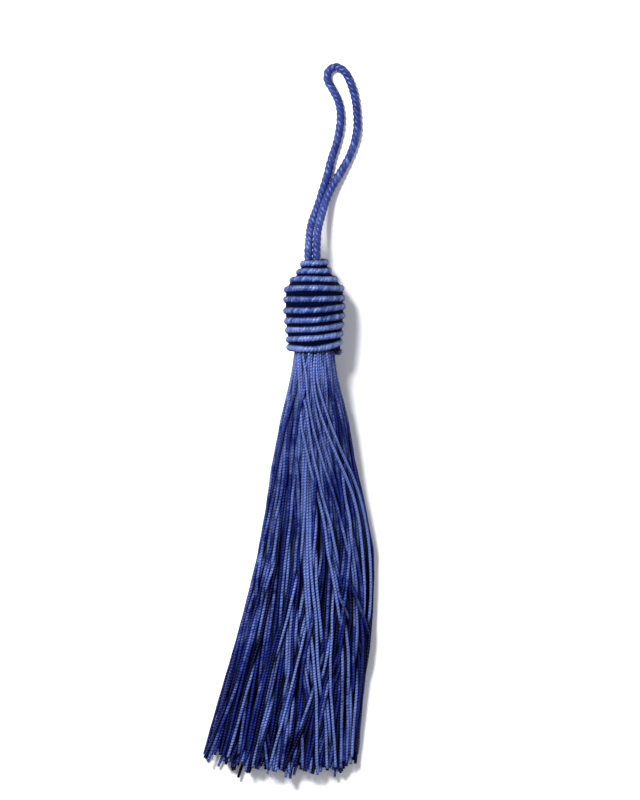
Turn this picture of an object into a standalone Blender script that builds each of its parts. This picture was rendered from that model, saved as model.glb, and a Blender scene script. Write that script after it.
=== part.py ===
"""A tassel lying on its side: a mould wound with cord, a skirt of cut yarns and a hanging loop.

Metres, +Z up. The tassel's length runs along Y, with the hanging loop towards +Y and the cut end of
the skirt towards -Y. It lies on the surface at Z = 0, with the origin under the middle of its head
and skirt. A drop is a distance down from the top of the head, and a rise is one up from there.
Tables are in millimetres.
"""

import math
from typing import NamedTuple

import bmesh
import bpy
from mathutils import Vector

OBJECT_NAME = "cord_head_tassel"
MM = 0.001
GAP = 0.3 * MM  # kept between neighbouring pieces

HEAD_X = 6.33 * MM  # the skirt leans to -X, so the head stands a little to +X
HEAD_TOP_Y = 69.35 * MM
FLAT_SPOT = 0.3 * MM  # how much of the winding is pressed flat where it touches the surface

WINDING_CORD = 1.6 * MM  # diameter of the cord wound round the mould
WINDING_START = 0.6  # in rows: the cord starts under the head
WINDING_END = 10.78  # and is tucked in at the right, below the last row
POINTS_PER_TURN = 20

FORM_TOP_RISE = 0.05 * MM
FORM_BOTTOM_DROP = 24.3 * MM
FORM_STEPS = 28
FORM_BANDS = 14

LOCKS = 16  # bunches of yarn side by side, each a ridge and a tooth of the cut end
COLUMNS_PER_LOCK = 3
SKIRT_RINGS = 17
LAST_RING_DROP = 127.0 * MM
GROOVE = 0.7 * MM  # depth of the grooves between locks
WAIST_SHARE = 0.42  # height of the skirt's side edges, as a share of its thickness
UNDERSIDE_POWER = 0.6  # below 1, the underside turns flat close to the side edges

LOOP_CORD = 1.9 * MM  # diameter of the cord of the hanging loop
LOOP_STEP = 1.9 * MM  # spacing of the loop's points


class HeadRow(NamedTuple):
    """One row of the winding as seen from above, in millimetres."""

    drop: float
    radius: float


class SkirtSection(NamedTuple):
    """The skirt at one drop: its reach to each side of the head's axis, crown and underside, in mm.

    An underside below zero is pressed flat on the surface. A squareness of 2 is round, and more is
    a flatter section with its columns spread more evenly.
    """

    drop: float
    left: float
    right: float
    crown: float
    under: float
    squareness: float


class LoopPoint(NamedTuple):
    """A point of the hanging loop, beside the head's axis and above the head's top, in mm."""

    beside: float
    rise: float
    height: float


HEAD_ROWS = (
    HeadRow(drop=-0.6, radius=3.4),
    HeadRow(drop=0.8, radius=3.9),
    HeadRow(drop=2.9, radius=4.85),
    HeadRow(drop=5.1, radius=6.6),
    HeadRow(drop=7.7, radius=8.2),
    HeadRow(drop=10.3, radius=8.4),
    HeadRow(drop=13.3, radius=8.5),
    HeadRow(drop=16.0, radius=8.3),
    HeadRow(drop=18.4, radius=8.1),
    HeadRow(drop=20.6, radius=7.8),
    HeadRow(drop=23.5, radius=7.6),
    HeadRow(drop=25.7, radius=7.6),
)

SKIRT_SECTIONS = (
    SkirtSection(drop=24.6, left=5.4, right=5.4, crown=13.6, under=2.8, squareness=2.0),
    SkirtSection(drop=26.8, left=5.5, right=5.5, crown=13.7, under=2.6, squareness=2.0),
    SkirtSection(drop=33.0, left=6.8, right=7.3, crown=13.6, under=1.2, squareness=2.0),
    SkirtSection(drop=44.0, left=9.3, right=9.2, crown=12.0, under=-0.2, squareness=2.1),
    SkirtSection(drop=56.0, left=11.5, right=11.2, crown=10.4, under=-0.4, squareness=2.2),
    SkirtSection(drop=67.0, left=13.0, right=14.0, crown=9.2, under=-0.4, squareness=2.3),
    SkirtSection(drop=79.0, left=15.2, right=15.9, crown=8.3, under=-0.4, squareness=2.4),
    SkirtSection(drop=94.0, left=18.5, right=15.7, crown=7.4, under=-0.4, squareness=2.6),
    SkirtSection(drop=105.0, left=21.2, right=15.0, crown=6.8, under=-0.4, squareness=2.7),
    SkirtSection(drop=116.0, left=24.2, right=13.2, crown=6.2, under=-0.4, squareness=2.8),
    SkirtSection(drop=131.0, left=28.2, right=11.8, crown=5.4, under=-0.4, squareness=3.0),
    SkirtSection(drop=139.3, left=29.4, right=11.6, crown=4.8, under=-0.4, squareness=3.0),
)

TOOTH_DROPS = (
    133.6, 135.8, 135.2, 137.6, 136.9, 137.8, 137.0, 139.0,
    137.2, 139.3, 137.4, 138.8, 136.6, 138.9, 137.9, 134.8,
)
NOTCH_DEPTH = 3.2  # from the ends of the two teeth beside it, in mm

LOOP_ROUTE = (
    LoopPoint(beside=-1.4, rise=0.35, height=8.2),
    LoopPoint(beside=-1.4, rise=3.8, height=7.5),
    LoopPoint(beside=-0.8, rise=9.2, height=4.4),
    LoopPoint(beside=0.8, rise=14.6, height=1.9),
    LoopPoint(beside=2.2, rise=19.2, height=1.02),
    LoopPoint(beside=3.6, rise=23.6, height=0.95),
    LoopPoint(beside=4.6, rise=27.6, height=0.95),
    LoopPoint(beside=5.9, rise=31.6, height=0.95),
    LoopPoint(beside=6.8, rise=35.6, height=0.95),
    LoopPoint(beside=7.1, rise=39.8, height=0.95),
    LoopPoint(beside=6.4, rise=43.6, height=0.95),
    LoopPoint(beside=4.9, rise=46.6, height=0.95),
    LoopPoint(beside=3.6, rise=49.1, height=0.95),
    LoopPoint(beside=3.8, rise=51.5, height=0.95),
    LoopPoint(beside=5.8, rise=52.7, height=0.95),
    LoopPoint(beside=8.0, rise=51.6, height=0.95),
    LoopPoint(beside=9.7, rise=48.6, height=0.95),
    LoopPoint(beside=11.0, rise=44.2, height=0.95),
    LoopPoint(beside=11.6, rise=39.0, height=0.95),
    LoopPoint(beside=11.5, rise=35.0, height=0.95),
    LoopPoint(beside=10.5, rise=31.0, height=0.95),
    LoopPoint(beside=9.0, rise=27.4, height=1.0),
    LoopPoint(beside=7.1, rise=24.0, height=1.35),
    LoopPoint(beside=5.2, rise=20.8, height=2.0),
    LoopPoint(beside=3.4, rise=17.0, height=3.0),
    LoopPoint(beside=2.1, rise=13.0, height=4.4),
    LoopPoint(beside=1.3, rise=8.6, height=6.3),
    LoopPoint(beside=1.0, rise=4.4, height=7.8),
    LoopPoint(beside=1.0, rise=0.35, height=8.2),
)

MOST_RADIUS = max(row.radius for row in HEAD_ROWS) * MM
HEAD_AXIS_Z = MOST_RADIUS - FLAT_SPOT


def cleared_collection(name):
    """Empty the scene, and return a new collection linked to it."""
    for obj in list(bpy.data.objects):
        bpy.data.objects.remove(obj, do_unlink=True)
    return new_collection(name)


def new_collection(name):
    """Return a new collection linked to the scene."""
    collection = bpy.data.collections.new(name)
    bpy.context.scene.collection.children.link(collection)
    return collection


def material(name, colour, roughness):
    """Return a plain yarn material with a Principled BSDF."""
    made = bpy.data.materials.new(name)
    made.use_nodes = True
    shader = made.node_tree.nodes["Principled BSDF"]
    shader.inputs["Base Color"].default_value = (*colour, 1.0)
    shader.inputs["Roughness"].default_value = roughness
    shader.inputs["Metallic"].default_value = 0.0
    return made


def placed(name, data, finish, collection):
    """Return an object made from a mesh or curve, with its material, in its collection."""
    data.materials.append(finish)
    obj = bpy.data.objects.new(name, data)
    collection.objects.link(obj)
    return obj


def smooth_at(places, values, at):
    """Return the value at a place, on a smooth curve through the values of a table's column."""
    last = len(places) - 1
    at = min(max(at, places[0]), places[last])
    i = next(k for k in range(last) if at <= places[k + 1])

    def slope(k):
        before = max(k - 1, 0)
        after = min(k + 1, last)
        return (values[after] - values[before]) / (places[after] - places[before])

    span = places[i + 1] - places[i]
    t = (at - places[i]) / span
    return (
        (2 * t**3 - 3 * t**2 + 1) * values[i]
        + (t**3 - 2 * t**2 + t) * span * slope(i)
        + (3 * t**2 - 2 * t**3) * values[i + 1]
        + (t**3 - t**2) * span * slope(i + 1)
    )


def head_radius(drop):
    """Return the outer radius of the wound head at a drop in metres."""
    drops = [row.drop for row in HEAD_ROWS]
    radii = [row.radius for row in HEAD_ROWS]
    return smooth_at(drops, radii, drop / MM) * MM


def beside_head(beside, drop, height):
    """Return the world point beside the head's axis, at a drop and a height."""
    return Vector((HEAD_X + beside, HEAD_TOP_Y - drop, height))


def make_head_form(finish, collection):
    """The thread-covered mould inside the winding: a turned shape, seen in the grooves."""
    drops = [
        -FORM_TOP_RISE + (FORM_BOTTOM_DROP + FORM_TOP_RISE) * band / FORM_BANDS
        for band in range(FORM_BANDS + 1)
    ]
    profile = [(head_radius(drop) - WINDING_CORD - GAP, -drop) for drop in drops]
    profile = [(0.0, profile[0][1]), *profile, (0.0, profile[-1][1])]
    mesh = bpy.data.meshes.new("head_form")
    points = [(radius, 0.0, height) for radius, height in profile]
    mesh.from_pydata(points, [(i, i + 1) for i in range(len(points) - 1)], [])
    form = placed("head_form", mesh, finish, collection)
    form.location = beside_head(0.0, 0.0, HEAD_AXIS_Z)
    form.rotation_euler = (math.radians(-90), 0.0, 0.0)
    turned = form.modifiers.new("turned", "SCREW")
    turned.axis = "Z"
    turned.steps = FORM_STEPS
    turned.render_steps = FORM_STEPS
    turned.use_merge_vertices = True
    turned.merge_threshold = 0.00001
    turned.use_smooth_shade = True
    return form


def winding_points():
    """Return the winding's centreline: a rising spiral through the rows of the head."""
    numbers = list(range(len(HEAD_ROWS)))
    drops = [row.drop * MM for row in HEAD_ROWS]
    radii = [row.radius * MM - WINDING_CORD / 2 for row in HEAD_ROWS]
    count = round((WINDING_END - WINDING_START) * POINTS_PER_TURN)
    points = []
    for i in range(count + 1):
        row = WINDING_START + (WINDING_END - WINDING_START) * i / count
        drop = smooth_at(numbers, drops, row)
        radius = smooth_at(numbers, radii, row)
        angle = math.tau * (row - 1) + math.pi / 2
        across = radius * math.cos(angle)
        points.append(beside_head(across, drop, HEAD_AXIS_Z + radius * math.sin(angle)))
    return points


def tube_curve(name, points, diameter):
    """Return a curve that is a solid tube with closed ends through the points."""
    curve = bpy.data.curves.new(name, "CURVE")
    curve.dimensions = "3D"
    curve.bevel_depth = diameter / 2
    curve.bevel_resolution = 2
    curve.use_fill_caps = True
    spline = curve.splines.new("POLY")
    spline.points.add(len(points) - 1)
    for spline_point, point in zip(spline.points, points):
        spline_point.co = (*point, 1.0)
    return curve


def welded_mesh(curve, weld):
    """Return a closed mesh made from a tube curve, with its end caps joined on."""
    guide = bpy.data.objects.new("guide", curve)
    bpy.context.scene.collection.objects.link(guide)
    graph = bpy.context.evaluated_depsgraph_get()
    mesh = bpy.data.meshes.new_from_object(guide.evaluated_get(graph))
    bpy.data.objects.remove(guide, do_unlink=True)
    shape = bmesh.new()
    shape.from_mesh(mesh)
    bmesh.ops.remove_doubles(shape, verts=shape.verts, dist=weld)
    shape.to_mesh(mesh)
    shape.free()
    return mesh


def make_surface_cutter(collection):
    """A block whose upper face is the surface that the tassel lies on."""
    side = 4 * MOST_RADIUS
    bpy.ops.mesh.primitive_cube_add(size=side, location=beside_head(0.0, side / 2, -side / 2))
    cutter = bpy.context.object
    cutter.name = "surface_cutter"
    cutter.hide_render = True
    cutter.display_type = "WIRE"
    for linked in list(cutter.users_collection):
        linked.objects.unlink(cutter)
    collection.objects.link(cutter)
    return cutter


def make_head_winding(finish, collection, cutter):
    """The cord wound round the mould, cut flat where it rests on the surface."""
    curve = tube_curve("head_winding", winding_points(), WINDING_CORD)
    mesh = welded_mesh(curve, GAP / 10)
    winding = placed("head_winding", mesh, finish, collection)
    mesh.shade_smooth()
    pressed = winding.modifiers.new("pressed_flat", "BOOLEAN")
    pressed.operation = "DIFFERENCE"
    pressed.solver = "EXACT"
    pressed.object = cutter
    return winding


def skirt_section(drop):
    """Return the skirt's section at a drop in metres, with every length in metres."""
    drops = [row.drop for row in SKIRT_SECTIONS]
    columns = zip(*SKIRT_SECTIONS)
    found = SkirtSection(*(smooth_at(drops, column, drop / MM) for column in columns))
    lengths = {name: getattr(found, name) * MM for name in found._fields[:-1]}
    return found._replace(**lengths)


def column_drop(column):
    """Return how far down a column of the skirt reaches: to a tooth's end, or to a notch."""
    lock, place = divmod(column, COLUMNS_PER_LOCK)
    if place or column in (0, LOCKS * COLUMNS_PER_LOCK):
        return TOOTH_DROPS[min(lock, LOCKS - 1)] * MM
    beside = [TOOTH_DROPS[k] for k in (lock - 1, lock) if 0 <= k < LOCKS]
    return (min(beside) - NOTCH_DEPTH) * MM


def skirt_point(column, drop, upper):
    """Return the point of a column on the upper or lower face of the skirt."""
    section = skirt_section(drop)
    share = column / (LOCKS * COLUMNS_PER_LOCK)
    round_share = (1 - math.cos(math.pi * share)) / 2
    evenness = min(section.squareness - 2.0, 1.0)
    across = round_share + (share - round_share) * evenness
    beside = -section.left + (section.left + section.right) * across
    power = section.squareness
    fullness = (1 - abs(2 * across - 1) ** power) ** (1 / power)
    waist = section.under + (section.crown - section.under) * (
        0.5 + (WAIST_SHARE - 0.5) * evenness
    )
    if upper:
        groove = GROOVE * fullness if column % COLUMNS_PER_LOCK == 0 else 0.0
        height = waist + (section.crown - waist) * fullness - groove
    else:
        depth = fullness ** (1 + (UNDERSIDE_POWER - 1) * evenness)
        height = max(waist - (waist - section.under) * depth, 0.0)
    return beside_head(beside, drop, height)


def make_skirt(finish, collection):
    """The skirt of cut yarns: a fan of locks lofted down the tassel, with a comb of teeth."""
    columns = LOCKS * COLUMNS_PER_LOCK
    first = SKIRT_SECTIONS[0].drop * MM
    drops = [first + (LAST_RING_DROP - first) * i / SKIRT_RINGS for i in range(SKIRT_RINGS + 1)]
    shape = bmesh.new()
    rings = []
    for drop in [*drops, None]:
        reach = [column_drop(c) if drop is None else drop for c in range(columns + 1)]
        over = [shape.verts.new(skirt_point(c, reach[c], True)) for c in range(columns + 1)]
        under = [shape.verts.new(skirt_point(c, reach[c], False)) for c in range(1, columns)]
        rings.append((over, [over[0], *under, over[-1]]))
    for (over, under), (next_over, next_under) in zip(rings, rings[1:]):
        for c in range(columns):
            shape.faces.new((over[c], over[c + 1], next_over[c + 1], next_over[c]))
            shape.faces.new((under[c + 1], under[c], next_under[c], next_under[c + 1]))
    over, under = rings[0]
    shape.faces.new([*over, *reversed(under[1:-1])])
    over, under = rings[-1]
    for c in range(columns):
        corners = dict.fromkeys((over[c], over[c + 1], under[c + 1], under[c]))
        shape.faces.new(list(corners))
    bmesh.ops.recalc_face_normals(shape, faces=shape.faces)
    mesh = bpy.data.meshes.new("skirt")
    shape.to_mesh(mesh)
    shape.free()
    mesh.shade_smooth()
    mesh.set_sharp_from_angle(angle=math.radians(50))
    return placed("skirt", mesh, finish, collection)


def loop_points():
    """Return points at even steps along a smooth curve through the loop's route."""
    route = [beside_head(p.beside * MM, -p.rise * MM, p.height * MM) for p in LOOP_ROUTE]
    along = [0.0]
    for a, b in zip(route, route[1:]):
        along.append(along[-1] + (b - a).length)
    count = round(along[-1] / LOOP_STEP)
    places = [along[-1] * i / count for i in range(count + 1)]
    columns = [[point[axis] for point in route] for axis in range(3)]
    return [Vector([smooth_at(along, column, place) for column in columns]) for place in places]


def make_loop_cord(finish, collection):
    """The hanging loop: one cord out of the head's top and back into it, lying on the surface."""
    curve = tube_curve("loop_cord", loop_points(), LOOP_CORD)
    return placed("loop_cord", curve, finish, collection)


def main():
    """Build the tassel."""
    tassel = cleared_collection(OBJECT_NAME)
    cutters = new_collection("cutters")
    thread = material("mould_thread", colour=(0.008, 0.014, 0.07), roughness=0.7)
    cord = material("winding_cord", colour=(0.045, 0.085, 0.42), roughness=0.45)
    yarn = material("skirt_yarn", colour=(0.03, 0.05, 0.33), roughness=0.5)
    loop = material("loop_cord", colour=(0.04, 0.075, 0.36), roughness=0.5)
    make_head_form(thread, tassel)
    make_head_winding(cord, tassel, make_surface_cutter(cutters))
    make_skirt(yarn, tassel)
    make_loop_cord(loop, tassel)


main()
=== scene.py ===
"""The looks of a tassel: a wound head, a skirt of single yarns and a hanging loop of cord.

The tassel lies on its side along Y, seen from straight above, with its loop towards +Y. A drop is
a distance down the tassel from the top of its head, and a rise is one up from there. Every size is
in metres unless a table says that it is in millimetres.
"""

import logging
import math
from collections.abc import Sequence
from dataclasses import dataclass, field
from enum import Enum
from typing import ClassVar, NamedTuple

import bmesh
import bpy
import numpy as np
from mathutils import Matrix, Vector
from mathutils.kdtree import KDTree


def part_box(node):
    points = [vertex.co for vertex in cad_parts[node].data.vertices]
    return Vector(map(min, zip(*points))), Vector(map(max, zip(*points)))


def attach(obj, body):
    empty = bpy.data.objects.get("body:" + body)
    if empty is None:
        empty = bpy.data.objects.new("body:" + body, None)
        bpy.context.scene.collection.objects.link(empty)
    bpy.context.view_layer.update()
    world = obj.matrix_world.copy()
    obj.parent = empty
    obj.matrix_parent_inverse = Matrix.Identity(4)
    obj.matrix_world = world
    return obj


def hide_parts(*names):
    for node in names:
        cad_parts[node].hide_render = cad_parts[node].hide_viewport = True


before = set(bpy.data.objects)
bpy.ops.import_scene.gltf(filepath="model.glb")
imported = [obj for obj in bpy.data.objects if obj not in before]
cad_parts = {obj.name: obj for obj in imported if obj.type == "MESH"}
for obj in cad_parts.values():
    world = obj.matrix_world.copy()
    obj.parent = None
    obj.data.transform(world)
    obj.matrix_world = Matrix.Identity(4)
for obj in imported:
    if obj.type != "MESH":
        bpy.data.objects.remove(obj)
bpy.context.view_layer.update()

MM = 0.001
CLEARANCE = 0.01 * MM  # how far the lowest strands stay above the surface
BODY = "root"
STRAND_UV = "strand"
TONE = "tone"
PAINTED_SHADE_DEPTH = "depth"
SEED = "seed"
GOLDEN_SHARE = 0.618034  # steps of it spread the strands' seeds evenly
LOG = logging.getLogger("tassel")

Array = np.ndarray
Socket = bpy.types.NodeSocket


class HeadRow(NamedTuple):
    """One row of the winding as seen from above, in millimetres."""

    drop: float
    radius: float


class LoopPoint(NamedTuple):
    """A point of the hanging loop, beside the head's axis and above the head's top, in mm."""

    beside: float
    rise: float
    height: float


class Stray(NamedTuple):
    """A lock that lies over the others: where it runs, and how many yarns it has.

    Its route is a row of places, each beside the head's axis and down from the head's top, in mm.
    """

    route: tuple[tuple[float, float], ...]
    yarns: int
    spacing: float = 0.95
    tone: float = 0.6
    neck: float | None = None  # beside the head's axis, in mm, where it leaves the head


HEAD_ROWS = (
    HeadRow(drop=-0.6, radius=3.4),
    HeadRow(drop=0.95, radius=3.9),
    HeadRow(drop=3.2, radius=4.85),
    HeadRow(drop=5.4, radius=6.6),
    HeadRow(drop=7.8, radius=8.2),
    HeadRow(drop=10.75, radius=8.4),
    HeadRow(drop=13.7, radius=8.5),
    HeadRow(drop=16.4, radius=8.3),
    HeadRow(drop=18.9, radius=8.1),
    HeadRow(drop=21.25, radius=7.8),
    HeadRow(drop=24.0, radius=7.6),
    HeadRow(drop=26.1, radius=7.6),
)

LOOP_ROUTE = tuple(
    LoopPoint(*point)
    for point in (
        (-1.65, 0.35, 8.2), (-1.6, 3.8, 7.5), (-1.05, 9.2, 4.4), (0.8, 14.6, 1.9), (2.2, 19.2, 1.02),
        (3.6, 23.6, 0.95), (4.6, 27.6, 0.95), (5.9, 31.6, 0.95), (6.8, 35.6, 0.95), (7.1, 39.8, 0.95),
        (6.4, 43.6, 0.95), (4.9, 46.6, 0.95), (3.6, 49.1, 0.95), (3.8, 51.5, 0.95), (5.8, 52.7, 0.95),
        (8.0, 51.6, 0.95), (9.7, 48.6, 0.95), (11.0, 44.2, 0.95), (11.6, 39.0, 0.95),
        (11.5, 35.0, 0.95), (10.5, 31.0, 0.95), (9.0, 27.4, 1.0), (7.1, 24.0, 1.35), (5.2, 20.8, 2.0),
        (3.4, 17.0, 3.0), (2.1, 13.0, 4.4), (1.0, 8.6, 6.3), (0.62, 4.4, 7.8), (0.55, 0.35, 8.2),
    )
)

STRAYS = (
    Stray(((-12.0, 75.6), (-16.4, 92.1), (-20.2, 107.0), (-27.0, 134.0)), 5, tone=0.7),
    Stray(((-24.3, 120.2), (-26.4, 128.0), (-29.6, 134.7)), 1),
    Stray(((-11.1, 90.5), (-14.8, 118.8), (-12.8, 130.4), (-11.7, 137.6)), 2, tone=0.8),
    Stray(((-11.6, 108.0), (-14.8, 120.2), (-18.5, 137.6)), 2),
    Stray(((-7.4, 108.0), (-9.4, 116.5), (-13.1, 127.7), (-16.0, 137.0)), 1),
    Stray(((-6.6, 98.3), (-6.9, 118.0), (-7.2, 138.8)), 2, tone=0.8),
    Stray(((-3.6, 100.4), (-1.6, 115.0), (0.9, 127.2), (3.9, 137.5)), 3, tone=0.9),
    Stray(((4.6, 78.8), (8.8, 94.2), (14.2, 107.5)), 2, tone=0.75),
    Stray(((7.4, 80.0), (9.6, 88.0), (15.0, 102.0)), 1),
    Stray(((8.6, 94.0), (8.2, 99.6), (4.2, 129.3), (3.4, 137.0)), 2),
    Stray(((12.8, 108.0), (12.5, 115.3), (10.4, 133.4)), 2, tone=0.5),
    Stray(
        (
            (0.2, 34.7), (3.7, 46.0), (7.2, 54.6), (10.6, 61.5),
            (13.6, 74.0), (14.4, 92.0), (12.6, 118.0), (11.0, 134.0),
        ),
        2, spacing=1.5, tone=0.95, neck=0.6,
    ),
    Stray(
        (
            (-0.8, 40.0), (2.0, 51.0), (5.2, 61.0), (8.9, 73.0),
            (11.9, 89.0), (11.4, 112.0), (9.0, 136.0),
        ),
        2, spacing=1.4, tone=0.55, neck=-1.6,
    ),
    Stray(
        ((-2.4, 46.0), (-0.2, 57.0), (2.6, 68.0), (5.6, 83.0), (7.8, 104.0), (8.0, 137.0)),
        2, spacing=1.3, tone=0.8, neck=-3.3,
    ),
    Stray(((-0.9, 65.0), (-0.8, 86.0), (1.0, 106.0), (2.0, 138.0)), 3, tone=1.0),
    Stray(((2.7, 83.0), (0.3, 94.0), (-3.4, 112.0), (-5.0, 136.0)), 1),
    Stray(((4.6, 91.0), (3.6, 108.0), (5.0, 137.0)), 2, tone=0.9),
    Stray(((-9.0, 60.0), (-13.6, 84.0), (-16.0, 104.0), (-21.0, 135.0)), 3, tone=0.75),
    Stray(((-5.4, 60.0), (-8.4, 84.0), (-12.0, 112.0), (-22.0, 136.0)), 2),
    Stray(((-8.2, 92.0), (-11.2, 112.0), (-17.4, 137.6)), 2, tone=0.85),
    Stray(((-5.0, 88.0), (-6.2, 110.0), (-9.8, 138.2)), 2, tone=0.95),
    Stray(((-15.2, 88.0), (-19.6, 110.0), (-24.0, 135.4)), 2, tone=0.8),
)


class TwistSense(Enum):
    """Which way the plies of a cord turn."""

    Z_TWIST = 1
    S_TWIST = -1


class SocketKind(Enum):
    """What a socket of a node group carries."""

    FLOAT = "NodeSocketFloat"
    COLOUR = "NodeSocketColor"
    VECTOR = "NodeSocketVector"


def curve_through(points: Array, places: Array, at: Array) -> Array:
    """Read a smooth curve through a table's rows.

    Args:
        points: One row of values for each place.
        places: Where those rows are, in rising order.
        at: Where to read the curve, held inside the table.

    Returns:
        One row of values for each place in ``at``.
    """
    points = np.asarray(points, float).reshape(len(places), -1)
    places = np.asarray(places, float)
    at = np.clip(at, places[0], places[-1])
    before = np.maximum(np.arange(len(places)) - 1, 0)
    after = np.minimum(np.arange(len(places)) + 1, len(places) - 1)
    slopes = (points[after] - points[before]) / (places[after] - places[before])[:, None]
    i = np.clip(np.searchsorted(places, at) - 1, 0, len(places) - 2)
    span = (places[i + 1] - places[i])[:, None]
    t = (at - places[i])[:, None] / span
    return (
        (2 * t**3 - 3 * t**2 + 1) * points[i]
        + (t**3 - 2 * t**2 + t) * span * slopes[i]
        + (3 * t**2 - 2 * t**3) * points[i + 1]
        + (t**3 - t**2) * span * slopes[i + 1]
    )


def lengths_along(path: Array) -> Array:
    """Return the distance along a path at each of its points."""
    steps = np.linalg.norm(np.diff(path, axis=0), axis=1)
    return np.concatenate([[0.0], np.cumsum(steps)])


def evenly_spaced(path: Array, step: float) -> Array:
    """Even out the points of a path.

    Args:
        path: Points in a row.
        step: The distance wanted between them.

    Returns:
        A smooth path through the same points, with its points a step apart.
    """
    along = lengths_along(path)
    count = max(2, round(along[-1] / step))
    return curve_through(path, along, np.linspace(0.0, along[-1], count + 1))


def eased(values: Array, low: float, high: float) -> Array:
    """Return 0 below ``low`` and 1 above ``high``, eased between them."""
    t = np.clip((values - low) / (high - low), 0.0, 1.0)
    return t * t * (3 - 2 * t)


def turning_frames(path: Array) -> tuple[Array, Array]:
    """Return two unit vectors square to a path at each point, which turn with it but never spin.

    Args:
        path: Points of shape (strands, points, 3).

    Returns:
        The side and up vectors, each of the same shape as the path.
    """
    tangents = np.gradient(path, axis=1)
    tangents /= np.linalg.norm(tangents, axis=2, keepdims=True)
    sides = np.empty_like(path)
    first = np.cross(tangents[:, 0], [0.0, 0.0, 1.0])
    flat = np.linalg.norm(first, axis=1) < 0.2
    first[flat] = np.cross(tangents[flat, 0], [1.0, 0.0, 0.0])
    sides[:, 0] = first / np.linalg.norm(first, axis=1, keepdims=True)
    for k in range(1, path.shape[1]):
        carried = sides[:, k - 1]
        carried = carried - np.sum(carried * tangents[:, k], axis=1, keepdims=True) * tangents[:, k]
        sides[:, k] = carried / np.linalg.norm(carried, axis=1, keepdims=True)
    return sides, np.cross(sides, tangents)


@dataclass
class StrandBundle:
    """Many round strands joined in one mesh, each with closed ends and its own UV, tone and painted
    shade depth.

    The paths are of shape (strands, points, 3), and the radii, tones and depths of shape (strands,
    points). U is the distance along a strand in metres, and V goes once round it.
    """

    paths: Array
    radii: Array
    tones: Array  # from 0 to 1, for the shade of the dye, and in the skirt also painted light and shade
    depths: Array  # from 0 to 1, for the painted shade deep among the strands and on the sides of the winding's rows
    sides: int
    floor: float = 0.0

    def points(self) -> Array:
        """Sweep a round section along every path.

        Returns:
            The points of each strand in turn: ring by ring, and then the poles of its two ends.
        """
        side, up = turning_frames(self.paths)
        turn = np.arange(self.sides) * math.tau / self.sides
        spoke = side[:, :, None] * np.cos(turn)[:, None] + up[:, :, None] * np.sin(turn)[:, None]
        skin = self.paths[:, :, None] + spoke * self.radii[:, :, None, None]
        skin[..., 2] = np.maximum(skin[..., 2], self.floor)
        skin = skin.reshape(len(self.paths), -1, 3)
        return np.concatenate([skin, self.paths[:, [0, -1]]], axis=1).reshape(-1, 3)

    def at_points(self, values: Array) -> Array:
        """Return a value for each point from one for each ring."""
        around = np.repeat(values, self.sides, axis=1)
        return np.concatenate([around, values[:, [0, -1]]], axis=1).ravel()

    def faces(self) -> tuple[Array, Array]:
        """Join the points.

        Returns:
            The four corners of each face of the skins, and the three of each face of the ends.
        """
        strands, rings, _ = self.paths.shape
        starts = np.arange(strands)[:, None, None, None] * (rings * self.sides + 2)
        ring, spot = np.meshgrid(np.arange(rings - 1), np.arange(self.sides), indexing="ij")
        here, following = ring * self.sides, (spot + 1) % self.sides
        there = here + self.sides
        quads = np.stack([here + spot, here + following, there + following, there + spot], axis=-1)
        rim = np.arange(self.sides)
        last, pole = (rings - 1) * self.sides, np.full(self.sides, rings * self.sides)
        near = np.stack([(rim + 1) % self.sides, rim, pole], axis=-1)
        far = np.stack([last + rim, last + (rim + 1) % self.sides, pole + 1], axis=-1)
        ends = starts[..., 0] + np.concatenate([near, far])
        return (starts + quads).reshape(-1, 4), ends.reshape(-1, 3)

    def uvs(self) -> Array:
        """Lay the strands out flat.

        Returns:
            The U and V of every corner, in the order of the faces.
        """
        strands, rings, _ = self.paths.shape
        steps = np.linalg.norm(np.diff(self.paths, axis=1), axis=2)
        along = np.concatenate([np.zeros((strands, 1)), np.cumsum(steps, axis=1)], axis=1)
        u = np.stack([along[:, :-1], along[:, :-1], along[:, 1:], along[:, 1:]], axis=-1)
        u = np.broadcast_to(u[:, :, None], (strands, rings - 1, self.sides, 4))
        edge = np.arange(self.sides) / self.sides
        v = np.stack([edge, edge + 1 / self.sides, edge + 1 / self.sides, edge], axis=-1)
        end_u = np.repeat(along[:, [0, -1]], self.sides, axis=1)
        end_u = np.repeat(end_u[..., None], 3, axis=2)
        end_v = np.broadcast_to(np.tile(edge, 2)[None, :, None], end_u.shape)
        skin_uvs = np.stack([u, np.broadcast_to(v, u.shape)], axis=-1).reshape(-1, 2)
        return np.concatenate([skin_uvs, np.stack([end_u, end_v], axis=-1).reshape(-1, 2)])

    def to_object(self, name: str) -> bpy.types.Object:
        """Turn the bundle into a mesh.

        Args:
            name: The object's name.

        Returns:
            One smooth-shaded mesh object, linked to the scene.
        """
        points = self.points()
        quads, ends = self.faces()
        mesh = bpy.data.meshes.new(name)
        mesh.vertices.add(len(points))
        mesh.vertices.foreach_set("co", points.astype(np.float32).ravel())
        corners = np.concatenate([quads.ravel(), ends.ravel()])
        mesh.loops.add(len(corners))
        mesh.loops.foreach_set("vertex_index", corners.astype(np.int32))
        sizes = np.repeat([4, 3], [len(quads), len(ends)])
        starts = np.cumsum(sizes) - sizes
        mesh.polygons.add(len(sizes))
        mesh.polygons.foreach_set("loop_start", starts.astype(np.int32))
        mesh.update(calc_edges=True)
        layer = mesh.uv_layers.new(name=STRAND_UV)
        layer.data.foreach_set("uv", self.uvs().astype(np.float32).ravel())
        strands = len(self.paths)
        seeds = np.repeat(np.arange(strands) * GOLDEN_SHARE % 1.0, len(points) // strands)
        tones, depths = self.at_points(self.tones), self.at_points(self.depths)
        for attribute, values in ((TONE, tones), (PAINTED_SHADE_DEPTH, depths), (SEED, seeds)):
            made = mesh.attributes.new(attribute, "FLOAT", "POINT")
            made.data.foreach_set("value", values.astype(np.float32))
        mesh.validate()
        mesh.shade_smooth()
        made = bpy.data.objects.new(name, mesh)
        bpy.context.scene.collection.objects.link(made)
        return made


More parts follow.
